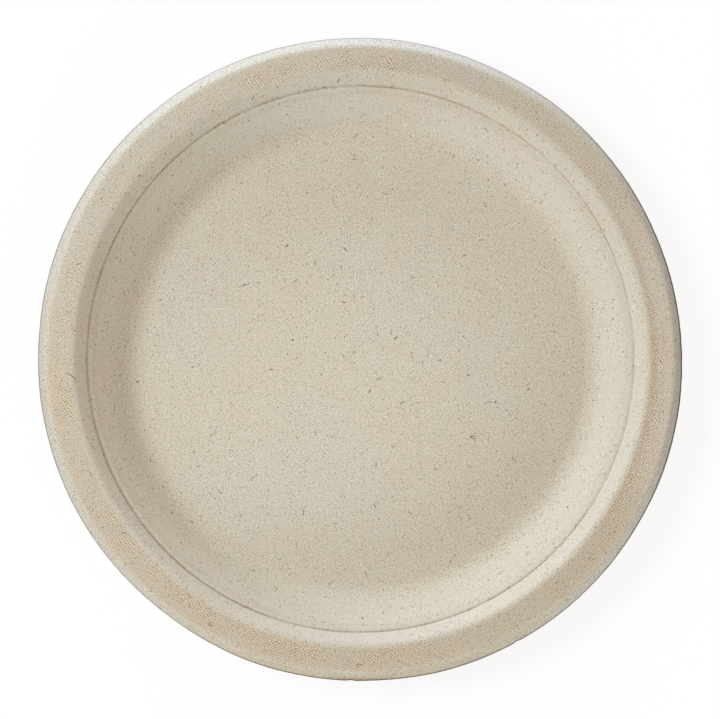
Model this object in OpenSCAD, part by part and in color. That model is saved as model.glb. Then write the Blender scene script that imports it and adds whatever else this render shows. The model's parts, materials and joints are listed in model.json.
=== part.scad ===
// Round plate pressed from plant-fibre pulp, in one piece: a flat floor, a sloping wall with
// a small stacking step, a rim that falls a little outwards and a lip that turns down at the edge.
// The skin has one thickness all over, so its underside repeats every bend of the food side.
// Millimetres, +Z up, origin on the table under the middle of the plate.

/* [Plate] */
// Diameter over the outer edge of the lip
plate_d = 228; // [150:1:320]
// Height above the table at which the lines of the wall and the rim meet, just over the crest
rim_h = 19; // [15:0.5:28]
// Thickness of the pressed skin
wall_t = 0.65; // [0.4:0.05:1]

/* [Wall] */
// Width of the sloping wall seen from above, from the floor's line to the rim's inner corner
wall_w = 18; // [16:0.1:40]
// Bend radius between the floor and the wall, on the food side
cove_r = 9.5; // [6:0.5:12]
// How far the wall stands in from the straight line between the floor and the rim
wall_bow = 0.9; // [0.05:0.05:1.2]
// Place along the wall, from the floor, at which it stands in most, as a share of its length
bow_at = 0.42; // [0.38:0.01:0.46]
// Bend radius of the wall where it stands in most
bow_r = 50; // [20:5:60]

/* [Stacking step] */
// Distance from the rim's inner corner down the wall to the step
step_down = 5.4; // [5:0.1:7]
// Length of the step's riser, measured along the wall
riser_len = 1.5; // [1.2:0.1:1.8]
// Length of the step's ledge, measured along the wall
ledge_len = 1.3; // [1.2:0.1:1.8]
// Depth of the step below the line of the wall
step_depth = 0.5; // [0.1:0.05:0.6]
// Inside radius of the step's three bends
step_r = 0.4; // [0.2:0.1:0.6]

/* [Rim] */
// Width of the rim seen from above, from its inner corner to the corner of the lip
rim_w = 9.3; // [7:0.1:14]
// Slope of the rim below the level, outwards
rim_slope = 14; // [0:1:20]
// Inside radius of the bend between the wall and the rim
shoulder_r = 2.5; // [1.5:0.1:4]

/* [Lip] */
// Width of the turned-down lip, seen from above
lip_w = 3.3; // [2:0.1:5]
// Slope of the lip below the level
lip_slope = 42; // [25:1:60]
// Inside radius of the bend between the rim and the lip
lip_r = 2.5; // [1:0.1:3]
// Radius that rounds the trimmed edge
edge_r = 0.25; // [0.1:0.05:0.3]

/* [Hidden] */

// Fineness of the round stretches of the outline, in degrees a step, and their fewest steps
arc_step = 4.5;
least_steps = 4;

// The rounding of the edge takes up to this share of the skin's thickness
edge_share = 0.45;
trim_r = min(edge_r, edge_share * wall_t);

// Unit vectors along a heading and square to its left, the heading of a vector v, and the turn
// from vector u to vector v. A heading is an angle from the horizontal, and left turns are positive.
function along(a) = [cos(a), sin(a)];
function left_of(a) = [-sin(a), cos(a)];
function heading(v) = atan2(v.y, v.x);
function turn(u, v) = atan2(cross(u, v), u * v);

// Corners of the food side, from the middle of the floor to the end of the lip
shoulder = [plate_d / 2 - lip_w - rim_w, rim_h];
lip_bend = shoulder + [rim_w, -rim_w * tan(rim_slope)];
foot = [shoulder.x - wall_w, wall_t];
floor_mid = [0, wall_t];
lip_run = lip_w + trim_r * (cos(lip_slope) + sin(lip_slope) - 1);
lip_end = lip_bend + [lip_run, -lip_run * tan(lip_slope)];

// The wall stands in at its belly. The step is cut below the line from there to the rim.
chord = shoulder - foot;
belly = foot + bow_at * chord + wall_bow * left_of(heading(chord));
slope = heading(shoulder - belly);
riser_top = shoulder - step_down * along(slope);
riser_foot = riser_top - riser_len * along(slope) - step_depth * left_of(slope);
ledge_low = riser_top - (riser_len + ledge_len) * along(slope);

corners = [floor_mid, foot, belly, ledge_low, riser_foot, riser_top, shoulder, lip_bend, lip_end];

// The wall's bend takes up to this share of the straight stretch above it
bow_share = 0.8;
half_bow = turn(shoulder - belly, belly - foot) / 2;
bow_fit = min(bow_r, bow_share * norm(ledge_low - belly) / tan(half_bow));

// The radius inside each of the bends, in the order of the corners between the two ends
radii = [cove_r, bow_fit, step_r, step_r, step_r, shoulder_r, lip_r];

// Points of the arc that rounds corner q of the line p-q-s with radius r
function bend(p, q, s, r) =
    let (
        a = heading(q - p),
        full = turn(q - p, s - q),
        side = sign(full),
        reach = r * tan(abs(full) / 2),
        centre = q - reach * along(a) + side * r * left_of(a),
        steps = max(least_steps, ceil(abs(full) / arc_step))
    )
    [for (i = [0:steps]) centre - side * r * left_of(a + full * i / steps)];

// Corner i moved square to its two lines until both lie depth below the food side
function sunk(i, depth) =
    let (
        before = corners[i] - corners[i - 1],
        half = turn(before, corners[i + 1] - corners[i]) / 2
    )
    corners[i] - depth / cos(half) * left_of(heading(before) + half);

// The corners of the face that lies depth below the food side, ends included
function sunk_corners(depth) =
    let (last = len(corners) - 1)
    concat(
        [floor_mid - [0, depth]],
        [for (i = [1:last - 1]) sunk(i, depth)],
        [lip_end - depth * left_of(-lip_slope)]
    );

// The outline of that face with its bends rounded. A bend has one centre for both faces.
function skin_line(depth) =
    let (c = sunk_corners(depth))
    concat(
        [c[0]],
        [
            for (i = [1:len(c) - 2])
                let (
                    left = turn(c[i] - c[i - 1], c[i + 1] - c[i]) > 0,
                    r = radii[i - 1] + (left ? depth : wall_t - depth)
                )
                each bend(c[i - 1], c[i], c[i + 1], r)
        ]
    );

// The section through one side of the plate
module section() {
    top = skin_line(0);
    under = skin_line(wall_t);
    low_end = lip_end - wall_t * left_of(-lip_slope);
    rim_line = top[len(top) - 1];
    polygon(concat(
        top,
        bend(rim_line, lip_end, low_end, trim_r),
        bend(lip_end, low_end, under[len(under) - 1], trim_r),
        [for (i = [len(under) - 1:-1:0]) under[i]]
    ));
}

module plate() {
    color([0.8, 0.77, 0.7])
        rotate_extrude($fn = 180)
            section();
}

plate();
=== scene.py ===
# %% [markdown]
# # A plate pressed from plant fibre
# This lesson dresses one disposable plate: a thin skin of plant-fibre pulp, formed on a wire
# screen and pressed hot between two moulds. Its exact shape comes ready from the CAD step. Here
# it gets what the moulds and the pulp leave behind: a slightly uneven skin, stray fibres, the
# screen's print and the soft colour of unbleached fibre. Cells that make or measure something
# print it.

import json
import math
import bpy
import numpy as np
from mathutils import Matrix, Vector

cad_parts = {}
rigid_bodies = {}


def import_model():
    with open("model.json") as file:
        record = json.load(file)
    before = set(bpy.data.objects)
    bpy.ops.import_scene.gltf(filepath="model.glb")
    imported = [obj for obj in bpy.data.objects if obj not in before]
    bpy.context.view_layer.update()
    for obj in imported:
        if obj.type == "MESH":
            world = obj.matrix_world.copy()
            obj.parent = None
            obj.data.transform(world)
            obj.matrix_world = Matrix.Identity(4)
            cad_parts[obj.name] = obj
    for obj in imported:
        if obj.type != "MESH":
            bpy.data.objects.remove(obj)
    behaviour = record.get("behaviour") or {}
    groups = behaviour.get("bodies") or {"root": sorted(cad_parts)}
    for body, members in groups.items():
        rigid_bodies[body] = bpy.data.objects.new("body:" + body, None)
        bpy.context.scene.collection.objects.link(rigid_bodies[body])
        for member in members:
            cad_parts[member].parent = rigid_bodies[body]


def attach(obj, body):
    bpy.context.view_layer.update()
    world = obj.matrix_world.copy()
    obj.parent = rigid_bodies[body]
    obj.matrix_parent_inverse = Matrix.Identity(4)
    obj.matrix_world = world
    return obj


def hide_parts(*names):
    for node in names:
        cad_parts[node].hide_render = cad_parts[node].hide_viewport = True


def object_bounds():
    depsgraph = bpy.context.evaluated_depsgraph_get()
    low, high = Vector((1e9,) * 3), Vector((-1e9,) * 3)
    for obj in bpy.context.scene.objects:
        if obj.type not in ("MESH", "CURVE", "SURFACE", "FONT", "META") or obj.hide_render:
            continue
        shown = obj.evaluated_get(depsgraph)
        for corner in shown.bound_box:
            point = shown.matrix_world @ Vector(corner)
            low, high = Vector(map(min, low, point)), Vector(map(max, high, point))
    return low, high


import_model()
cad_low, cad_high = [list(corner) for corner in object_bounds()]
MM = 0.001
plate_r = (cad_high[0] - cad_low[0]) / 2 / MM
print(f"The plate is {2 * plate_r:.1f} mm across and {cad_high[2] / MM:.1f} mm high")

# %% [markdown]
# ## The section
# Cut through its middle, the real plate shows one line of even thickness: flat floor, round
# cove, a wall that stands in a little, a small stacking step, a rim that falls a little outwards
# and a lip that turns down. A subdivision surface would round all its bends alike, so the line
# is drawn from its corners, and each bend gets the radius that the mould has there. The diameter
# is the frame's. The other sizes are the plate's own, in millimetres.

# %% Sizes of the section, in millimetres
skin_t, rim_h = 0.65, 19.0
wall_w, wall_bow, bow_at = 18.0, 0.9, 0.42
step_down, riser_len, ledge_len, step_depth = 5.4, 1.5, 1.3, 0.5
rim_w, rim_slope = 9.3, math.radians(14)
lip_w, lip_slope, trim_r = 3.3, math.radians(42), 0.25
cove_r, bow_r, step_r, shoulder_r, lip_r = 9.5, 50, 0.4, 2.5, 2.5
bend_step, fewest_steps, longest_step = math.radians(7.5), 4, 7.5


# %% Helpers for directions and bends
def along(angle):
    """A step of length 1 in a direction."""
    return np.array([math.cos(angle), math.sin(angle)])


def left_of(angle):
    """A step of length 1 square to a direction, to its left."""
    return np.array([-math.sin(angle), math.cos(angle)])


def heading(line):
    return math.atan2(line[1], line[0])


def turn(before, after):
    """The angle from one step to the next, positive to the left."""
    cross = before[0] * after[1] - before[1] * after[0]
    return math.atan2(cross, float(before @ after))


def bend(before, corner, after, radius):
    """Points of the arc that rounds a corner of a line."""
    angle, full = heading(corner - before), turn(corner - before, after - corner)
    side = math.copysign(radius, full)
    middle = corner - radius * math.tan(abs(full) / 2) * along(angle) + side * left_of(angle)
    count = max(fewest_steps, math.ceil(abs(full) / bend_step))
    return [middle - side * left_of(angle + full * i / count) for i in range(count + 1)]


# %% The food side's corners
shoulder = np.array([plate_r - lip_w - rim_w, rim_h])
lip_bend = shoulder + [rim_w, -rim_w * math.tan(rim_slope)]
foot = np.array([shoulder[0] - wall_w, skin_t])
lip_run = lip_w + trim_r * (math.cos(lip_slope) + math.sin(lip_slope) - 1)
lip_end = lip_bend + np.array([lip_run, -lip_run * math.tan(lip_slope)])
chord = shoulder - foot
belly = foot + bow_at * chord + wall_bow * left_of(heading(chord))
slope = heading(shoulder - belly)
riser_top = shoulder - step_down * along(slope)
riser_foot = riser_top - riser_len * along(slope) - step_depth * left_of(slope)
ledge_low = riser_top - (riser_len + ledge_len) * along(slope)
corners = [np.array([0, skin_t]), foot, belly, ledge_low, riser_foot, riser_top]
corners += [shoulder, lip_bend, lip_end]
radii = [cove_r, bow_r, step_r, step_r, step_r, shoulder_r, lip_r]
print(f"The wall rises at {math.degrees(slope):.0f} degrees above its belly")


# %% Both sides of the skin
def sunk(index, depth):
    """A corner moved square to its two lines, until both lie depth below the food side."""
    before = corners[index] - corners[index - 1]
    half = turn(before, corners[index + 1] - corners[index]) / 2
    return corners[index] - depth / math.cos(half) * left_of(heading(before) + half)


def skin_line(depth):
    line = [corners[0] - [0, depth]]
    line += [sunk(i, depth) for i in range(1, len(corners) - 1)]
    line += [lip_end - depth * left_of(-lip_slope)]
    points = [line[0]]
    for i in range(1, len(line) - 1):
        inward = turn(line[i] - line[i - 1], line[i + 1] - line[i]) > 0
        radius = radii[i - 1] + (depth if inward else skin_t - depth)
        points += bend(line[i - 1], line[i], line[i + 1], radius)
    return points


food_side, table_side = skin_line(0), skin_line(skin_t)
low_end = lip_end - skin_t * left_of(-lip_slope)
trim = bend(food_side[-1], lip_end, low_end, trim_r)
trim += bend(lip_end, low_end, table_side[-1], trim_r)
outline = food_side + trim + table_side[::-1]


# %% Even out the spacing and measure along the line
def spaced(points, longest):
    """The same line with extra points wherever two lie further apart than longest."""
    result = [points[0]]
    for start, end in zip(points, points[1:]):
        count = math.ceil(np.linalg.norm(end - start) / longest)
        result += [start + (end - start) * i / count for i in range(1, count + 1)]
    return np.array(result)


section = spaced(outline, longest_step)
steps = np.linalg.norm(np.diff(section, axis=0), axis=1)
travel = np.concatenate([[0], np.cumsum(steps)])
edge_at = travel[np.argmax(section[:, 0])]
print(f"{len(section)} points, {travel[-1]:.1f} mm along both sides, edge at {edge_at:.1f} mm")

# %% [markdown]
# ## Small helpers for node trees
# Blender's node trees can be drawn by hand or built in a script. A script needs only two moves:
# add a node, and give each of its inputs a value or a link. One helper does both, for geometry
# and for materials, so every later cell stays short.


# %% Helpers for node trees
def add(tree, kind, values=None, **settings):
    """Adds a node. A socket given as a value is linked, and anything else is set."""
    node = tree.nodes.new(kind)
    for name, value in settings.items():
        setattr(node, name, value)
    for key, value in (values or {}).items():
        if isinstance(value, bpy.types.NodeSocket):
            tree.links.new(value, node.inputs[key])
        else:
            node.inputs[key].default_value = value
    return node


def calc(tree, operation, *values, **settings):
    node = add(tree, "ShaderNodeMath", dict(enumerate(values)), operation=operation, **settings)
    return node.outputs[0]


def vector_calc(tree, operation, *values):
    kind = "ShaderNodeVectorMath"
    node = add(tree, kind, dict(enumerate(values)), operation=operation)
    return node.outputs["Value" if operation in ("DOT_PRODUCT", "LENGTH") else "Vector"]


def rise(tree, value, start, end, low=0.0, high=1.0):
    """Climbs smoothly from low to high while value goes from start to end."""
    values = {"Value": value, "From Min": start, "From Max": end, "To Min": low, "To Max": high}
    node = add(tree, "ShaderNodeMapRange", values, interpolation_type="SMOOTHSTEP")
    return node.outputs["Result"]


def rise_straight(tree, value, start, end):
    """Climbs evenly from 0 to 1 while value goes from start to end."""
    values = {"Value": value, "From Min": start, "From Max": end}
    return add(tree, "ShaderNodeMapRange", values).outputs["Result"]


def scaled(tree, vector, factor):
    """The vector times a number."""
    node = add(tree, "ShaderNodeVectorMath", {0: vector, 3: factor}, operation="SCALE")
    return node.outputs[0]


def noise(tree, place, lump, seed, detail=1.0, flat=False):
    """Noise from 0 to 1 with lumps about as wide as lump. Each seed has its own stretch of it."""
    elsewhere = tuple(lump * seed * step for step in (17.3, 9.1, 23.7))
    values = {"Vector": vector_calc(tree, "ADD", place, elsewhere)}
    values.update({"Scale": 1 / lump, "Detail": detail})
    kind = "2D" if flat else "3D"
    return add(tree, "ShaderNodeTexNoise", values, noise_dimensions=kind).outputs[0]


# %% Helpers for geometry trees
def new_tree(name, sizes):
    """A geometry tree with its named sizes. Returns the tree, its input node and its keys."""
    tree = bpy.data.node_groups.new(name, "GeometryNodeTree")
    face = tree.interface
    face.new_socket("Geometry", in_out="INPUT", socket_type="NodeSocketGeometry")
    keys = {}
    for size, (kind, value) in sizes.items():
        socket = face.new_socket(size, in_out="INPUT", socket_type=kind)
        if value is not None:
            socket.default_value = value
        keys[size] = socket.identifier
    face.new_socket("Geometry", in_out="OUTPUT", socket_type="NodeSocketGeometry")
    return tree, tree.nodes.new("NodeGroupInput").outputs, keys


def store(tree, shape, name, value, kind="FLOAT", domain="POINT"):
    values = {"Geometry": shape, "Name": name, "Value": value}
    node = add(tree, "GeometryNodeStoreNamedAttribute", values, data_type=kind, domain=domain)
    return node.outputs["Geometry"]


def read(tree, name, kind="FLOAT"):
    node = add(tree, "GeometryNodeInputNamedAttribute", {"Name": name}, data_type=kind)
    return node.outputs["Attribute"]


def finish_tree(tree, shape, material):
    """Ends a tree: real mesh in place of instances, smooth faces and their material."""
    shape = add(tree, "GeometryNodeRealizeInstances", {"Geometry": shape}).outputs[0]
    shape = add(tree, "GeometryNodeSetShadeSmooth", {"Geometry": shape}).outputs[0]
    values = {"Geometry": shape, "Material": material}
    shape = add(tree, "GeometryNodeSetMaterial", values).outputs[0]
    add(tree, "NodeGroupOutput", {0: shape})


def run_tree(start, tree, keys, values):
    """Runs the tree on an object, whose mesh then is the plain result."""
    modifier = start.modifiers.new(tree.name, "NODES")
    modifier.node_group = tree
    for name, value in values.items():
        modifier[keys[name]] = value
    result = start.evaluated_get(bpy.context.evaluated_depsgraph_get())
    mesh = bpy.data.meshes.new_from_object(result)
    start.modifiers.remove(modifier)
    start.data = mesh


def object_of(name, mesh):
    thing = bpy.data.objects.new(name, mesh)
    bpy.context.scene.collection.objects.link(thing)
    return thing


# %% [markdown]
# ## The fibre's finish
# Pressed pulp is matt and warm. Fibres of many tones lie in it, and thicker and thinner clouds
# of pulp show as paler and darker patches. The wire screen on which the pulp was caught leaves a
# woven print, and the hot mould browns the rim, where it presses hardest. One colour with one
# noise would look like plastic, so the finish is built in layers, each at the size that it has
# on a real plate: drifts of some centimetres, mottling of some millimetres, grain below one, and
# single dark specks. All of it reads the object's own coordinates, in millimetres, and the
# distance along the skin, so it stays where it is from every side.


# %% A material with its helpers
def new_material(name):
    material = bpy.data.materials.new(name)
    material.use_nodes = True
    tree = material.node_tree
    tree.nodes.clear()
    shader = add(tree, "ShaderNodeBsdfPrincipled")
    output = add(tree, "ShaderNodeOutputMaterial", {"Surface": shader.outputs[0]})
    return material, tree, shader, output


def blend_colour(tree, share, first, second, way="MIX"):
    values = {0: share, 6: first, 7: second}
    node = add(tree, "ShaderNodeMix", values, data_type="RGBA", blend_type=way)
    return node.outputs[2]


def product(*shares):
    """The masks multiplied together: 1 only where all of them are 1."""
    result = shares[0]
    for share in shares[1:]:
        result = calc(pulp, "MULTIPLY", result, share)
    return result


# %% Where on the plate: radius, side of the skin and direction from the middle
fibre, pulp, fibre_shader, _ = new_material("moulded_fibre")
object_place = add(pulp, "ShaderNodeTexCoord").outputs["Object"]
place = scaled(pulp, object_place, 1 / MM)
x, y, _ = add(pulp, "ShaderNodeSeparateXYZ", {0: place}).outputs
radius = vector_calc(pulp, "LENGTH", vector_calc(pulp, "MULTIPLY", place, (1.0, 1.0, 0.0)))
azimuth = calc(pulp, "ARCTAN2", y, x)
trip = add(pulp, "ShaderNodeAttribute", attribute_name="along").outputs["Fac"]
on_food_side = calc(pulp, "LESS_THAN", trip, float(edge_at))
on_table_side = calc(pulp, "SUBTRACT", 1.0, on_food_side)


def between(start, end, soft):
    """A ring of the plate from one radius to another, with soft borders."""
    inner = rise(pulp, radius, start - soft, start + soft)
    outer = rise(pulp, radius, end - soft, end + soft, 1.0, 0.0)
    return product(inner, outer)


def facing(degrees, reach):
    """1 in one direction from the middle, falling to 0 at the given angle to either side."""
    middle = math.radians(degrees)
    toward = calc(pulp, "COSINE", calc(pulp, "SUBTRACT", azimuth, middle))
    return rise(pulp, toward, math.cos(math.radians(reach)), 1.0)


# %% The plate's rings, by radius in millimetres
cove_shade_ring = between(79.5, 84.5, 4.5)
wall_ring = between(86.0, 101.0, 1.5)
ledge_shade_ring = between(93.6, 96.3, 0.9)
groove_ring = product(between(96.4, 96.95, 0.3), on_food_side)
crest_ring = between(97.3, 101.5, 0.6)
rim_ring = between(102.2, 110.5, 1.3)
outer_rim_ring = between(104.7, 111.0, 1.6)
lip_ring = rise(pulp, radius, 110.2, 112.4)

# %% Drifts, mottling and grain
yellow_drift = noise(pulp, place, 38.0, 3.7)
rosy_drift = noise(pulp, place, 11.0, 9.1)
blush = noise(pulp, place, 3.8, 21.0)
mottle = noise(pulp, place, 2.6, 1.3)
aslant = {"Vector": place, "Angle": math.radians(28)}
aslant = add(pulp, "ShaderNodeVectorRotate", aslant, rotation_type="Z_AXIS").outputs[0]
grain = noise(pulp, aslant, 0.45, 5.5, detail=0.0, flat=True)
crumbs = noise(pulp, place, 1.1, 2.4, detail=0.0)
beads_noise = noise(pulp, place, 0.8, 14.0, detail=0.0)
coarse_here = rise(pulp, noise(pulp, place, 4.0, 12.0), 0.3, 0.72, 0.66, 1.0)
coarse_here = calc(pulp, "MULTIPLY_ADD", wall_ring, -0.4, coarse_here)

# %% Single specks, one in some of the cells of a cell pattern
def specks(cell, speck_r, share, seed, stretch=1.0, direction=0.0):
    """Specks of the given radius in millimetres in a share of the cells, or longer streaks."""
    turned = {"Vector": place, "Angle": math.radians(-direction)}
    turned = add(pulp, "ShaderNodeVectorRotate", turned, rotation_type="Z_AXIS").outputs[0]
    squeezed = vector_calc(pulp, "MULTIPLY_ADD", turned, (1 / stretch, 1.0, 1.0), (seed, 0.0, 0.0))
    settings = {"voronoi_dimensions": "2D", "feature": "F1"}
    cells = add(pulp, "ShaderNodeTexVoronoi", {"Vector": squeezed, "Scale": 1 / cell}, **settings)
    full, none = 0.4 * speck_r / cell, speck_r / cell
    near = rise(pulp, cells.outputs["Distance"], full, none, 1.0, 0.0)
    draw = add(pulp, "ShaderNodeSeparateColor", {0: cells.outputs["Color"]}).outputs[0]
    return product(near, rise(pulp, draw, 1 - share, 1.0))


fine_specks = specks(1.2, 0.24, 0.2, 7.0)
coarse_specks = specks(3.4, 0.36, 0.3, 19.0)
rising_streaks = specks(0.7, 0.17, 0.16, 3.0, stretch=4.0, direction=38)
falling_streaks = specks(0.7, 0.17, 0.16, 5.0, stretch=3.5, direction=-52)
dark_streaks = calc(pulp, "MAXIMUM", rising_streaks, falling_streaks)
pale_streaks = specks(0.8, 0.2, 0.2, 9.0, stretch=4.0, direction=80)

# %% The screen's woven print
def wires(angle, pitch, wobble):
    """One set of parallel wires, seen as a wave from 0 to 1 across them."""
    angle = math.radians(angle)
    across = vector_calc(pulp, "DOT_PRODUCT", place, (math.cos(angle), math.sin(angle), 0.0))
    phase = calc(pulp, "MULTIPLY", calc(pulp, "ADD", across, wobble), 2 * math.pi / pitch)
    return calc(pulp, "MULTIPLY_ADD", calc(pulp, "SINE", phase), 0.5, 0.5)


wobble = calc(pulp, "MULTIPLY", noise(pulp, place, 4.0, 7.0), 1.6)
warp = wires(36, 0.96, wobble)
weft = wires(-70, 0.92, wobble)
knots = product(warp, calc(pulp, "MULTIPLY_ADD", weft, 0.7, 0.3))
knots = product(rise(pulp, knots, 0.25, 0.8), rise(pulp, crumbs, 0.2, 0.6, 0.35, 1.0))

# %% Where the print came out well: in patches, and more so in four directions
well_printed = noise(pulp, place, 9.0, 31.0)
for direction, reach in ((350, 36), (97, 30), (186, 20), (255, 55)):
    well_printed = calc(pulp, "MULTIPLY_ADD", facing(direction, reach), 0.25, well_printed)
well_printed = rise(pulp, well_printed, 0.44, 0.84)
print_food = product(between(102.4, 107.6, 1.3), well_printed, on_food_side)
print_share = calc(pulp, "MAXIMUM", print_food, calc(pulp, "MULTIPLY", on_table_side, 0.7))

# %% The pulp's colour, and a helper that lays tints over it
plain_pulp, yellow_pulp = (0.655, 0.615, 0.514, 1), (0.655, 0.611, 0.498, 1)
colour = blend_colour(pulp, rise(pulp, yellow_drift, 0.3, 0.7), plain_pulp, yellow_pulp)


def lay(colour, tints):
    """Multiplies the colour by each tint's factor where the tint's mask is 1."""
    for share, factor in tints.values():
        colour = blend_colour(pulp, share, colour, factor + (1.0,), "MULTIPLY")
    print("Tints:", ", ".join(tints))
    return colour


# %% Drifts, painted shade in the cove, on the ledge and in the groove, and dirt in the groove
# The groove is darker all round: painted shade, partly dirt.
groove_shade_and_dirt = product(groove_ring, rise(pulp, rosy_drift, 0.25, 0.7, 0.35, 1.0))
dirt_beads = product(groove_ring, rise(pulp, beads_noise, 0.45, 0.7))
well_tints = {
    "rosy drift": (rise(pulp, rosy_drift, 0.4, 0.7), (1.0, 0.985, 0.979)),
    "blush": (rise(pulp, blush, 0.4, 0.65), (1.005, 0.989, 0.988)),
    "mottle": (rise(pulp, mottle, 0.3, 0.7), (0.985, 0.985, 0.985)),
    # Painted shade in the cove: the foot ring a little darker and warmer.
    "foot": (cove_shade_ring, (0.967, 0.939, 0.927)),
    # Painted shade and some dirt in the groove.
    "dirt": (groove_shade_and_dirt, (0.76, 0.72, 0.67)),
    # Painted shade in the groove in front.
    "painted shade in the groove in front": (product(groove_ring, facing(275, 70)), (0.76, 0.74, 0.7)),
    "beads of dirt": (dirt_beads, (0.86, 0.77, 0.66)),
    # Painted shade on the ledge beside the groove.
    "ledge": (ledge_shade_ring, (0.945, 0.94, 0.925)),
    "crest": (crest_ring, (0.97, 0.97, 0.96)),
    # Painted shade in the groove at the upper left.
    "painted shade in the groove at the upper left": (product(groove_ring, facing(135, 90)), (0.9, 0.915, 0.93)),
}
colour = lay(colour, well_tints)

# %% The browned rim and the wall, neither quite alike all round: painted light and shade in some directions
rim_tints = {
    "rim": (rim_ring, (0.9, 0.86, 0.815)),
    "printed rim": (product(rim_ring, well_printed), (1.03, 0.995, 0.965)),
    # Painted light on the rim on the right and on the wall at the back, painted shade on the rim
    # at the back.
    "painted light on the rim on the right": (product(outer_rim_ring, facing(0, 36)), (1.14, 1.19, 1.28)),
    "painted shade on the rim at the back": (product(rim_ring, facing(105, 75)), (0.915, 0.92, 0.935)),
    "wall": (wall_ring, (1.015, 1.0, 1.018)),
    "painted light on the wall at the back": (product(wall_ring, facing(120, 42)), (1.03, 1.075, 1.085)),
}
colour = lay(colour, rim_tints)

# %% The lip, browner or paler in single directions: painted light and shade
painted_lip_light = (
    # Painted warm shade in front, painted light in front more widely, a painted highlight at the
    # back, and painted shade on the left and on the right.
    ("front", 270, 45, (0.92, 0.86, 0.76)),
    ("wide front", 285, 75, (1.07, 1.1, 1.13)),
    ("back", 74, 38, (1.1, 1.1, 1.16)),
    ("left", 165, 42, (0.88, 0.86, 0.83)),
    ("right", 2, 30, (0.87, 0.88, 0.9)),
)
lip_tints = {"lip": (lip_ring, (0.93, 0.94, 0.97))}
for where, direction, reach, factor in painted_lip_light:
    lip_tints[where] = (product(lip_ring, facing(direction, reach)), factor)
colour = lay(colour, lip_tints)

# %% A paler patch a little left of the middle
pale_middle = (-20.0, -16.0, 0.0)
from_pale = vector_calc(pulp, "LENGTH", vector_calc(pulp, "SUBTRACT", place, pale_middle))
pale_spot = rise(pulp, from_pale, 20.0, 85.0, 1.0, 0.0)
colour = lay(colour, {"pale spot": (pale_spot, (1.045, 1.045, 1.045))})

# %% Grain, specks and the print's dots
gaps = calc(pulp, "SUBTRACT", 1.0, knots)
grain_dark = product(rise(pulp, grain, 0.2, 0.5, 1.0, 0.0), coarse_here)
grain_pale = product(rise(pulp, grain, 0.5, 0.8), coarse_here)
grain_tints = {
    "dark grain": (grain_dark, (0.675, 0.662, 0.622)),
    "pale grain": (grain_pale, (1.168, 1.175, 1.2)),
    "crumbs": (rise(pulp, crumbs, 0.25, 0.5, 1.0, 0.0), (0.98, 0.98, 0.975)),
    "fine specks": (fine_specks, (0.4, 0.36, 0.29)),
    "dark streaks": (dark_streaks, (0.58, 0.54, 0.47)),
    "pale streaks": (pale_streaks, (1.22, 1.23, 1.26)),
    "coarse specks": (coarse_specks, (0.4, 0.31, 0.23)),
    "knots of the print": (product(knots, print_share), (0.5, 0.45, 0.4)),
    "gaps of the print": (product(gaps, print_share), (1.11, 1.105, 1.1)),
}
colour = lay(colour, grain_tints)

# %% The trimmed edge: cut fibres, browned by the hot trimming knife, and painted shade on the cut and along it
edge_gap = calc(pulp, "ABSOLUTE", calc(pulp, "SUBTRACT", trip, float(edge_at)))
cut_face = rise(pulp, edge_gap, 0.3, 0.95, 1.0, 0.0)
round_cut = rise(pulp, edge_gap, 0.5, 1.2, 1.0, 0.0)
wide_round_cut = rise(pulp, edge_gap, 0.6, 2.2, 1.0, 0.0)
cut_shade_line = rise(pulp, edge_gap, 0.12, 0.42, 1.0, 0.0)
edge_tints = {
    "cut": (cut_face, (0.72, 0.7, 0.69)),
    # Painted shade: the cut much darker on the right and in front, a little on the left, and a
    # thin dark line along the whole edge.
    "painted shade on the cut on the right": (product(round_cut, facing(2, 56)), (0.22, 0.22, 0.23)),
    "painted shade on the cut in front": (product(cut_face, facing(277, 46)), (0.4, 0.38, 0.35)),
    "painted shade on the cut on the left": (product(cut_face, facing(165, 48)), (0.74, 0.74, 0.74)),
    "painted shade line along the cut": (cut_shade_line, (0.42, 0.4, 0.4)),
    "burr in front": (product(wide_round_cut, facing(270, 7)), (0.8, 0.68, 0.52)),
}
colour = lay(colour, edge_tints)

# %% Relief in millimetres, and shine
mottle_height, grain_height, print_depth = 0.035, 0.007, 0.05
relief = calc(pulp, "MULTIPLY", mottle, mottle_height)
relief = calc(pulp, "MULTIPLY_ADD", grain, grain_height, relief)
relief = calc(pulp, "MULTIPLY_ADD", product(knots, print_share), -print_depth, relief)
values = {"Height": relief, "Distance": MM, "Strength": 1.0}
bumps = add(pulp, "ShaderNodeBump", values).outputs[0]
pulp.links.new(colour, fibre_shader.inputs["Base Color"])
pulp.links.new(bumps, fibre_shader.inputs["Normal"])
pulp.links.new(rise(pulp, mottle, 0.2, 0.8, 0.68, 0.8), fibre_shader.inputs["Roughness"])
fibre_shader.inputs["IOR"].default_value = 1.47
fibre_shader.inputs["Specular IOR Level"].default_value = 0.35
print(f"The fibre's finish has {len(pulp.nodes)} nodes")

# %% [markdown]
# ## The plate
# A plate of revolution could be spun with the Screw modifier. A tree of geometry nodes does the
# same and can also let the shape go a little out of true, as a real plate does: pulp dries
# unevenly, so the outline is slightly oval, the rim waves, the floor lifts off the table by up
# to a quarter of a millimetre, and the trimmed edge is ragged and nicked. A grid has one row for
# each point of the section and one column for each segment of the turn. Each of its points looks
# up its place on the section, and is turned round the axis. Merging near points then closes the
# seam and the two poles.

# %% The section as a line of points
line_mesh = bpy.data.meshes.new("section")
line_points = [(point[0] * MM, 0.0, point[1] * MM) for point in section]
line_edges = [(i, i + 1) for i in range(len(section) - 1)]
line_mesh.from_pydata(line_points, line_edges, [])
line_mesh.attributes.new("along", "FLOAT", "POINT")
line_mesh.attributes["along"].data.foreach_set("value", travel.astype(np.float32))
plate_skin = object_of("plate_skin", line_mesh)

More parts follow.
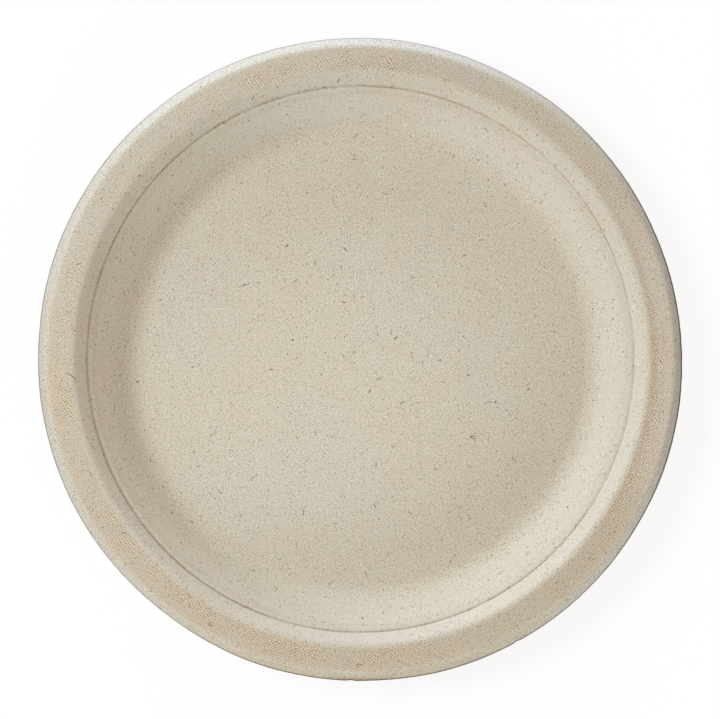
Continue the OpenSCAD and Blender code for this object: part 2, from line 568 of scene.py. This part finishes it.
# %% Turn the section round the axis
plate_sizes = {
    "Segments": ("NodeSocketInt", 720),
    "Plate radius": ("NodeSocketFloat", 0.114),
    "Oval": ("NodeSocketFloat", 0.0004),
    "Oval direction": ("NodeSocketFloat", math.radians(-82)),
    "Rim wave": ("NodeSocketFloat", 0.0002),
    "Floor lift": ("NodeSocketFloat", 0.00025),
    "Lip curl": ("NodeSocketFloat", 0.0007),
    "Edge wander": ("NodeSocketFloat", 0.0009),
    "Edge roughness": ("NodeSocketFloat", 0.00022),
    "Nick depth": ("NodeSocketFloat", 0.0003),
    "Edge place": ("NodeSocketFloat", 0.0),
    "Map size": ("NodeSocketFloat", 2.48),
    "Material": ("NodeSocketMaterial", None),
}
turning, size, plate_keys = new_tree("Turn the section", plate_sizes)
columns = calc(turning, "ADD", size["Segments"], 1.0)
rows = add(turning, "GeometryNodeAttributeDomainSize", {0: size["Geometry"]}).outputs[0]
grid_values = {"Vertices X": rows, "Vertices Y": columns}
grid = add(turning, "GeometryNodeMeshGrid", grid_values).outputs["Mesh"]
index = add(turning, "GeometryNodeInputIndex").outputs[0]
row = calc(turning, "FLOOR", calc(turning, "DIVIDE", calc(turning, "ADD", index, 0.5), columns))
column = calc(turning, "SUBTRACT", index, calc(turning, "MULTIPLY", row, columns))
angle = calc(turning, "DIVIDE", calc(turning, "MULTIPLY", column, 2 * math.pi), size["Segments"])


def look_up(value, kind):
    """The section's value at this point's row."""
    values = {"Geometry": size["Geometry"], "Value": value, "Index": row}
    return add(turning, "GeometryNodeSampleIndex", values, data_type=kind).outputs[0]


here = look_up(add(turning, "GeometryNodeInputPosition").outputs[0], "FLOAT_VECTOR")
reach, _, height = add(turning, "ShaderNodeSeparateXYZ", {0: here}).outputs
share = calc(turning, "DIVIDE", reach, size["Plate radius"])
trip_here = look_up(read(turning, "along"), "FLOAT")

# %% Let the shape go out of true
def around_middle(value, amount, weight):
    """Turns a noise into a shift of up to half of amount to either side."""
    shift = calc(turning, "MULTIPLY", calc(turning, "SUBTRACT", value, 0.5), amount)
    return calc(turning, "MULTIPLY", shift, weight)


phase = calc(turning, "SUBTRACT", calc(turning, "MULTIPLY", angle, 2.0), size["Oval direction"])
oval = calc(turning, "MULTIPLY", calc(turning, "COSINE", phase), size["Oval"])
reach = calc(turning, "MULTIPLY_ADD", oval, calc(turning, "POWER", share, 2.0), reach)
round_x, round_y = calc(turning, "COSINE", angle), calc(turning, "SINE", angle)
level_way = add(turning, "ShaderNodeCombineXYZ", {0: round_x, 1: round_y}).outputs[0]
flat_place = scaled(turning, level_way, reach)
# The wave starts outside the foot, so that the plate stands flat.
rim_weight = rise(turning, share, 0.72, 1.0, 0.0, 4.0)
wave = around_middle(noise(turning, flat_place, 0.07, 2.0), size["Rim wave"], rim_weight)
lift = calc(turning, "MULTIPLY", noise(turning, flat_place, 0.038, 6.0), size["Floor lift"])
lift = calc(turning, "MULTIPLY", lift, rise(turning, share, 0.45, 0.69, 1.0, 0.0))
curl = calc(turning, "POWER", rise_straight(turning, share, 0.977, 1.0), 2.0)
height = calc(turning, "SUBTRACT", height, calc(turning, "MULTIPLY", curl, size["Lip curl"]))
height = calc(turning, "ADD", calc(turning, "ADD", height, wave), lift)

# %% Trim the edge: it wanders, it is rough, and it has two nicks
lip_weight = rise(turning, share, 0.95, 1.0)
wander = noise(turning, flat_place, 0.045, 4.0, detail=1.0)
reach = calc(turning, "ADD", reach, around_middle(wander, size["Edge wander"], lip_weight))
edge_near = calc(turning, "ABSOLUTE", calc(turning, "SUBTRACT", trip_here, size["Edge place"]))
edge_near = rise(turning, edge_near, 0.3, 1.1, 1.0, 0.0)
rough = noise(turning, flat_place, 0.0022, 8.0, detail=2.0)
reach = calc(turning, "ADD", reach, around_middle(rough, size["Edge roughness"], edge_near))
for nick_at in (268.3, 298.8):
    gap = calc(turning, "ABSOLUTE", calc(turning, "SUBTRACT", angle, math.radians(nick_at)))
    nick = rise(turning, calc(turning, "MULTIPLY", gap, plate_r), 0.1, 1.1, 1.0, 0.0)
    cut = calc(turning, "MULTIPLY", calc(turning, "MULTIPLY", nick, edge_near), size["Nick depth"])
    reach = calc(turning, "SUBTRACT", reach, cut)

# %% Place the points, close the seam and store what the finish needs
spot_values = {0: calc(turning, "MULTIPLY", reach, round_x)}
spot_values[1] = calc(turning, "MULTIPLY", reach, round_y)
spot_values[2] = height
spot = add(turning, "ShaderNodeCombineXYZ", spot_values).outputs[0]
shape = store(turning, grid, "along", trip_here)
shape = add(turning, "GeometryNodeSetPosition", {"Geometry": shape, "Position": spot}).outputs[0]
merge_gap = 0.002 * MM
values = {"Geometry": shape, "Distance": merge_gap}
shape = add(turning, "GeometryNodeMergeByDistance", values).outputs[0]

# %% A map with the food side on one disc and the table side on another
position = add(turning, "GeometryNodeInputPosition").outputs[0]
flat = vector_calc(turning, "MULTIPLY", position, (1.0, 1.0, 0.0))
face_trip = {0: read(turning, "along")}
face_trip = add(turning, "GeometryNodeFieldOnDomain", face_trip, data_type="FLOAT", domain="FACE")
below = calc(turning, "GREATER_THAN", face_trip.outputs[0], size["Edge place"])
food_disc, table_disc = (0.2975, 0.7025, 0.0), (0.7025, 0.2975, 0.0)
disc_middles = {0: below, 4: food_disc, 5: table_disc}
disc = add(turning, "ShaderNodeMix", disc_middles, data_type="VECTOR").outputs[1]
on_map = vector_calc(turning, "ADD", scaled(turning, flat, size["Map size"]), disc)
shape = store(turning, shape, "OFBake", on_map, "FLOAT2", "CORNER")
finish_tree(turning, shape, size["Material"])

# %% Make the plate
values = {"Plate radius": plate_r * MM, "Edge place": float(edge_at), "Material": fibre}
run_tree(plate_skin, turning, plate_keys, values)
print(f"The plate has {len(plate_skin.data.polygons)} faces")

# %% [markdown]
# ## Stray fibres and chips
# Unbleached pulp holds some fibres that were never beaten down: threads of half a millimetre to
# two millimetres, a few longer hairs and small chips of bark. They lie half sunk in the skin,
# with a relief that can be felt. Particles could scatter them, but a tree of geometry nodes also
# bends each one along the skin below it. Points are scattered on the plate with a fixed seed,
# some chosen places join them, every point takes one of a few curled shapes, and each of the
# shape's corners is then moved on to the skin, at its own height above it.

# %% A few curled shapes, one millimetre long, with each corner's height as an attribute
stray_shapes = bpy.data.collections.new("stray_shapes")


def stray_shape(name, curl, wave, slimness, rings):
    """A thin closed thread along x that curls to one side and tapers at both ends."""
    points, heights, faces = [], [], []
    for i in range(rings + 1):
        t = i / rings
        half = slimness / 2 * (0.35 + 0.65 * math.sin(math.pi * t) ** 0.6)
        middle = curl * (0.25 - (t - 0.5) ** 2) + wave * math.sin(2 * math.pi * t)
        for side, high in ((-1.0, 0.0), (0.0, 0.7), (1.0, 0.0), (0.0, -0.7)):
            points.append((t - 0.5, middle + side * half, 0.0))
            heights.append(high * half)
    for i in range(rings):
        for k in range(4):
            a, b = 4 * i + k, 4 * i + (k + 1) % 4
            faces.append((a, a + 4, b + 4, b))
    last = 4 * rings
    faces += [(0, 1, 2, 3), (last + 3, last + 2, last + 1, last)]
    mesh = bpy.data.meshes.new(name)
    mesh.from_pydata([(px * MM, py * MM, pz * MM) for px, py, pz in points], [], faces)
    mesh.attributes.new("height", "FLOAT", "POINT")
    mesh.attributes["height"].data.foreach_set("value", [value * MM for value in heights])
    stray_shapes.objects.link(bpy.data.objects.new(name, mesh))


stray_shape("a_straight_thread", 0.1, 0.02, 0.16, 4)
stray_shape("b_bent_hair", 0.55, 0.0, 0.06, 6)
stray_shape("c_wavy_thread", 0.3, 0.09, 0.14, 6)
stray_shape("d_hooked_thread", 1.6, 0.08, 0.15, 6)
stray_shape("e_chip", 0.1, 0.0, 0.3, 4)
stray_shape("f_grain_of_bark", 0.2, 0.0, 0.6, 4)
stray_shape("g_long_hair", 0.45, 0.02, 0.016, 16)
thread_kinds, chip_kinds = 4, 2
straight, hair, wavy, hooked, chip, bark, long_hair = range(7)

# %% Chosen places, in millimetres: x, y, length, direction in degrees, shape and tone
chosen = [
    (-101.9, -7.4, 6.2, -42, hair, 0.1),
    (-10.3, -79.6, 3.4, 40, hair, 0.2),
    (-0.3, -108.2, 2.6, 5, wavy, 0.2),
    (-51.9, -93.7, 2.4, 120, hair, 0.2),
    (44.2, 80.9, 3.0, -35, hooked, 0.3),
    (-1.4, 80.4, 2.4, 45, straight, 0.25),
    (-2.2, 72.0, 2.2, 0, straight, 0.3),
    (62.3, 21.9, 2.0, 60, hair, 0.3),
    (54.4, -35.1, 2.0, 110, straight, 0.3),
    (-87.2, -16.6, 2.4, 90, straight, 0.3),
    (15.3, -15.7, 2.2, 25, hooked, 0.2),
    (-51.9, 69.3, 18.0, 44, long_hair, 0.74),
    (-33.5, 50.9, 5.2, 40, hair, 0.65),
]
dark_flecks = [(38.6, -5.3), (-33, 36.2), (-5.4, 39.8), (-41.3, 26.9), (-19.1, 22.2), (-5.8, 20.8)]
dark_flecks += [(12.8, 7.9), (6.7, 9.3), (-31.6, -3.2), (3.5, -11.1), (12.1, -30.4), (39.7, -27.2)]
dark_flecks += [(5.7, -37.2), (-24.8, -18.6), (-26.2, 40.9)]
dark_grains = [(-56.2, 84.4), (-78.1, 64.2), (-53.8, 44.5), (-91.5, 56.3), (-82.9, 6.6)]
dark_grains += [(-79.4, -7.7), (-88.8, -24.7), (-59.2, -32.6), (-67, -67.3), (33.6, -69.5)]
dark_grains += [(101.9, -47.7), (48.3, -15), (110.4, 13.8), (56, 69.6), (76.2, 48.9), (45.8, 64.5)]
fleck_tone, grain_tone = 0.02, 0.03
for i, (px, py) in enumerate(dark_flecks):
    length, kind = 1.4 + 0.1 * (i % 4), (chip, hooked, chip)[i % 3]
    chosen.append((px, py, length, (i * 67) % 180, kind, fleck_tone))
for i, (px, py) in enumerate(dark_grains):
    length, kind = 0.75 + 0.1 * (i % 3), (chip, bark)[i % 2]
    chosen.append((px, py, length, (i * 41) % 180, kind, grain_tone))
print(f"{len(chosen)} chosen places")

# %% Points above those places, which carry their values
drop_from = 0.05
chosen_mesh = bpy.data.meshes.new("chosen_places")
chosen_mesh.from_pydata([(row[0] * MM, row[1] * MM, drop_from) for row in chosen], [], [])
for place_in_row, name in enumerate(("long", "spin", "pick", "tone"), start=2):
    numbers = [row[place_in_row] for row in chosen]
    if name == "spin":
        numbers = [math.radians(degrees) for degrees in numbers]
    chosen_mesh.attributes.new(name, "FLOAT", "POINT")
    chosen_mesh.attributes[name].data.foreach_set("value", numbers)
stray_fibres = object_of("stray_fibres", chosen_mesh)

# %% The tree that scatters them
stray_sizes = {
    "Plate": ("NodeSocketObject", None),
    "Shapes": ("NodeSocketCollection", None),
    "Threads per square metre": ("NodeSocketFloat", 20000.0),
    "Chips per square metre": ("NodeSocketFloat", 2600.0),
    "Free edge": ("NodeSocketFloat", 4.0),
    "Edge place": ("NodeSocketFloat", 0.0),
    "Sunk": ("NodeSocketFloat", 0.00001),
    "Material": ("NodeSocketMaterial", None),
}
scatter, size, stray_keys = new_tree("Scatter stray fibres", stray_sizes)
skin = add(scatter, "GeometryNodeObjectInfo", {"Object": size["Plate"]}).outputs["Geometry"]
from_edge = calc(scatter, "SUBTRACT", read(scatter, "along"), size["Edge place"])
free = calc(scatter, "GREATER_THAN", calc(scatter, "ABSOLUTE", from_edge), size["Free edge"])


def draw(low, high, seed):
    """A random value for each point, the same in each run."""
    values = {2: float(low), 3: float(high), "Seed": seed}
    return add(scatter, "FunctionNodeRandomValue", values, data_type="FLOAT").outputs[1]


def scattered(density, seed, lengths, shapes, tones):
    """Points on the skin that know their length in millimetres, direction, shape and tone."""
    values = {"Mesh": skin, "Selection": free, "Density": density, "Seed": seed}
    node = add(scatter, "GeometryNodeDistributePointsOnFaces", values)
    dots = store(scatter, node.outputs["Points"], "up", node.outputs["Normal"], "FLOAT_VECTOR")
    # The power makes most of them short.
    short = calc(scatter, "POWER", draw(0, 1, seed + 1), 1.8)
    length = rise(scatter, short, 0.0, 1.0, *lengths)
    dots = store(scatter, dots, "long", length)
    dots = store(scatter, dots, "spin", draw(0, 2 * math.pi, seed + 2))
    dots = store(scatter, dots, "pick", draw(*shapes, seed + 3))
    return store(scatter, dots, "tone", draw(*tones, seed + 4))


thread_picks, chip_picks = (0, thread_kinds), (thread_kinds, thread_kinds + chip_kinds)
density = size["Threads per square metre"]
thread_points = scattered(density, 11, (0.6, 2.2), thread_picks, (0.0, 0.75))
density = size["Chips per square metre"]
chip_points = scattered(density, 23, (0.4, 1.0), chip_picks, (0.0, 0.6))

# %% Drop the chosen places on to the skin below them
fall = {"Target Geometry": skin, "Ray Direction": (0.0, 0.0, -1.0), "Ray Length": 0.1}
ray = add(scatter, "GeometryNodeRaycast", fall, data_type="FLOAT")
hit_normal = ray.outputs["Hit Normal"]
chosen_points = store(scatter, size["Geometry"], "up", hit_normal, "FLOAT_VECTOR")
values = {"Geometry": chosen_points, "Position": ray.outputs["Hit Position"]}
chosen_points = add(scatter, "GeometryNodeSetPosition", values).outputs[0]
chosen_points = add(scatter, "GeometryNodeMeshToPoints", {"Mesh": chosen_points}).outputs[0]
join = add(scatter, "GeometryNodeJoinGeometry")
for points in (chip_points, thread_points, chosen_points):
    scatter.links.new(points, join.inputs[0])

# %% Give every point its shape, turned flat on the skin and to its own direction
values = {"Vector": read(scatter, "up", "FLOAT_VECTOR")}
upright = add(scatter, "FunctionNodeAlignRotationToVector", values, axis="Z")
values = {"Axis": (0.0, 0.0, 1.0), "Angle": read(scatter, "spin")}
spin = add(scatter, "FunctionNodeAxisAngleToRotation", values)
values = {"Rotation": upright.outputs[0], "Rotate By": spin.outputs[0]}
turned = add(scatter, "FunctionNodeRotateRotation", values, rotation_space="LOCAL").outputs[0]
values = {"Collection": size["Shapes"], "Separate Children": True, "Reset Children": True}
shapes = add(scatter, "GeometryNodeCollectionInfo", values).outputs[0]
pick = calc(scatter, "FLOOR", read(scatter, "pick"))
values = {"Points": join.outputs[0], "Instance": shapes, "Pick Instance": True}
values.update({"Instance Index": pick, "Rotation": turned, "Scale": read(scatter, "long")})
laid = add(scatter, "GeometryNodeInstanceOnPoints", values).outputs[0]
laid = add(scatter, "GeometryNodeRealizeInstances", {"Geometry": laid}).outputs[0]

# %% Bend each one along the skin, with its corners at their own heights
near = add(scatter, "GeometryNodeProximity", {0: skin}, target_element="FACES").outputs["Position"]
skin_normal = add(scatter, "GeometryNodeInputNormal").outputs[0]
values = {"Mesh": skin, "Value": skin_normal}
normal = add(scatter, "GeometryNodeSampleNearestSurface", values, data_type="FLOAT_VECTOR")
normal = normal.outputs[0]
high = calc(scatter, "MULTIPLY", read(scatter, "height"), read(scatter, "long"))
high = calc(scatter, "SUBTRACT", high, size["Sunk"])
spot = vector_calc(scatter, "ADD", near, scaled(scatter, normal, high))
lowest = (-1.0, -1.0, 0.0)  # Nothing goes below the table.
spot = vector_calc(scatter, "MAXIMUM", spot, lowest)
laid = add(scatter, "GeometryNodeSetPosition", {"Geometry": laid, "Position": spot}).outputs[0]
finish_tree(scatter, laid, size["Material"])

# %% Their finish: from dark bark to pale straw
thread, threads_tree, thread_shader, _ = new_material("stray_fibre")
tint = add(threads_tree, "ShaderNodeAttribute", attribute_name="tone").outputs["Fac"]
dark_bark, brown_straw = (0.15, 0.11, 0.075, 1), (0.4, 0.32, 0.22, 1)
pale_straw = (0.7, 0.64, 0.52, 1)
to_brown, to_pale = rise(threads_tree, tint, 0.0, 0.5), rise(threads_tree, tint, 0.5, 1.0)
thread_colour = blend_colour(threads_tree, to_brown, dark_bark, brown_straw)
thread_colour = blend_colour(threads_tree, to_pale, thread_colour, pale_straw)
place_there = add(threads_tree, "ShaderNodeTexCoord").outputs["Object"]
place_there = scaled(threads_tree, place_there, 1 / MM)
uneven = noise(threads_tree, place_there, 0.3, 4.0)
grey = rise(threads_tree, uneven, 0.25, 0.75, 0.8, 1.15)
grey = add(threads_tree, "ShaderNodeCombineColor", {0: grey, 1: grey, 2: grey}).outputs[0]
thread_colour = blend_colour(threads_tree, 1.0, thread_colour, grey, "MULTIPLY")
threads_tree.links.new(thread_colour, thread_shader.inputs["Base Color"])
thread_shader.inputs["Roughness"].default_value = 0.65
thread_shader.inputs["Specular IOR Level"].default_value = 0.35

# %% Scatter the fibres
values = {"Plate": plate_skin, "Shapes": stray_shapes, "Edge place": float(edge_at)}
values["Material"] = thread
run_tree(stray_fibres, scatter, stray_keys, values)
for shape_object in list(stray_shapes.objects):
    bpy.data.objects.remove(shape_object)
bpy.data.collections.remove(stray_shapes)
print(f"The stray fibres have {len(stray_fibres.data.polygons)} faces")

# %% [markdown]
# ## The ground
# The plate was photographed on white. More light on it would bleach the fibre, so the whiteness
# is painted: where the camera or a reflection looks at the ground, most of what it sees is an
# even glow of a strength near 1, which is white. The rest is plain matt white that still takes
# the plate's soft shadow.

# %% The ground
floor_mesh = bpy.data.meshes.new("floor")
far = 1.4  # Half its side, in metres.
floor_corners = [(-far, -far, 0), (far, -far, 0), (far, far, 0), (-far, far, 0)]
floor_mesh.from_pydata(floor_corners, [], [(0, 1, 2, 3)])
floor = object_of("floor", floor_mesh)
ground, ground_tree, ground_shader, ground_output = new_material("white_ground")
ground_shader.inputs["Base Color"].default_value = (0.85, 0.85, 0.85, 1)
ground_shader.inputs["Roughness"].default_value = 0.9


def seen_directly(tree):
    """1 for what the camera sees, also in a reflection or through glass, and 0 for light."""
    path = add(tree, "ShaderNodeLightPath").outputs
    seen = calc(tree, "ADD", path["Is Camera Ray"], path["Is Glossy Ray"])
    return calc(tree, "ADD", seen, path["Is Transmission Ray"], use_clamp=True)


glow_strength, glow_part = 1.04, 0.85
glow = add(ground_tree, "ShaderNodeEmission", {"Strength": glow_strength}).outputs[0]
glow_share = calc(ground_tree, "MULTIPLY", seen_directly(ground_tree), glow_part)
values = {0: glow_share, 1: ground_shader.outputs[0], 2: glow}
mix = add(ground_tree, "ShaderNodeMixShader", values).outputs[0]
ground_tree.links.new(mix, ground_output.inputs["Surface"])
floor_mesh.materials.append(ground)

# %% [markdown]
# ## The light
# A shallow dish shows its form only through shading, so most of the light comes from one side: a
# soft key lamp on the left, weaker lamps in front, behind and on the right that open the
# shadows, and a low strip behind that brightens the edge. All are slightly cool, and the room
# between them is warm, because fibre-coloured light bounces back into the shaded wall. Together
# they show a flat sheet at about its own colour. A lamp's level of 1 would show a white card
# that faces it as white.


# %% Lamps
def lamp(name, azimuth, elevation, width, height, level, colour, distance=2.4):
    """A soft lamp that looks at the plate from the given distance in metres."""
    data = bpy.data.lights.new(name, "AREA")
    data.shape = "RECTANGLE"
    data.size, data.size_y = width, height
    data.energy = level * math.pi**2 * distance**2
    data.color = colour
    thing = object_of(name, data)
    azimuth, elevation = math.radians(azimuth), math.radians(elevation)
    level_way = Vector((math.cos(azimuth), math.sin(azimuth), 0)) * math.cos(elevation)
    way = level_way + Vector((0, 0, math.sin(elevation)))
    thing.location = way * distance
    thing.rotation_euler = way.to_track_quat("Z", "Y").to_euler()
    print(f"{name}: level {level} from {math.degrees(azimuth):.0f} degrees")


lamp("key", 164, 43, 1.3, 0.8, 0.91, (0.766, 0.899, 1.0))
lamp("right", 46, 14, 2.0, 0.6, 0.19, (0.69, 0.88, 1.0))
lamp("back", 100, 14, 2.0, 0.6, 0.303, (0.66, 0.87, 1.0))
lamp("front", 297, 18, 1.3, 0.3, 0.59, (0.714, 0.875, 1.0), 1.2)
lamp("low_strip", 107, 2, 2.3, 0.12, 0.4, (0.6, 0.7, 1.0))

# %% The room
# Below the horizon the room stands for the pale table that lights the underside.
world = bpy.data.worlds.new("room")
world.use_nodes = True
bpy.context.scene.world = world
room = world.node_tree
room.nodes.clear()
way = add(room, "ShaderNodeTexCoord").outputs["Generated"]
up = add(room, "ShaderNodeSeparateXYZ", {0: way}).outputs[2]
above = rise(room, up, -0.02, 0.02)
pale_table, warm_room, white = (0.8, 0.78, 0.74, 1), (0.31, 0.17, 0.06, 1), (1, 1, 1, 1)
room_colour = blend_colour(room, above, pale_table, warm_room)
room_colour = blend_colour(room, seen_directly(room), room_colour, white)
back = add(room, "ShaderNodeBackground", {"Color": room_colour})
add(room, "ShaderNodeOutputWorld", {0: back.outputs[0]})

# %% [markdown]
# ## The camera
# The photograph looks almost straight down from well above, so the plate shows as a circle. A
# long lens from a metre and a half keeps it round, and the view is as wide as the picture's own
# frame.

# %% Camera
camera_data = bpy.data.cameras.new("camera")
camera = object_of("camera", camera_data)
bpy.context.scene.camera = camera
view_w, distance, tilt = 0.25363, 1.5, math.radians(3.4)
camera_data.sensor_width = 36
camera_data.lens = camera_data.sensor_width * distance / view_w
aim = Vector((-0.07, -0.82, rim_h)) * MM
camera.location = aim + Vector((0, -math.sin(tilt), math.cos(tilt))) * distance
camera.rotation_euler = (tilt, 0, 0)
bpy.context.scene.view_settings.view_transform = "Standard"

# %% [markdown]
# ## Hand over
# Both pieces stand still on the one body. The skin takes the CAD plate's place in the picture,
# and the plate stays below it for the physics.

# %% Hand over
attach(plate_skin, "root")
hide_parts("plate")
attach(stray_fibres, "root")
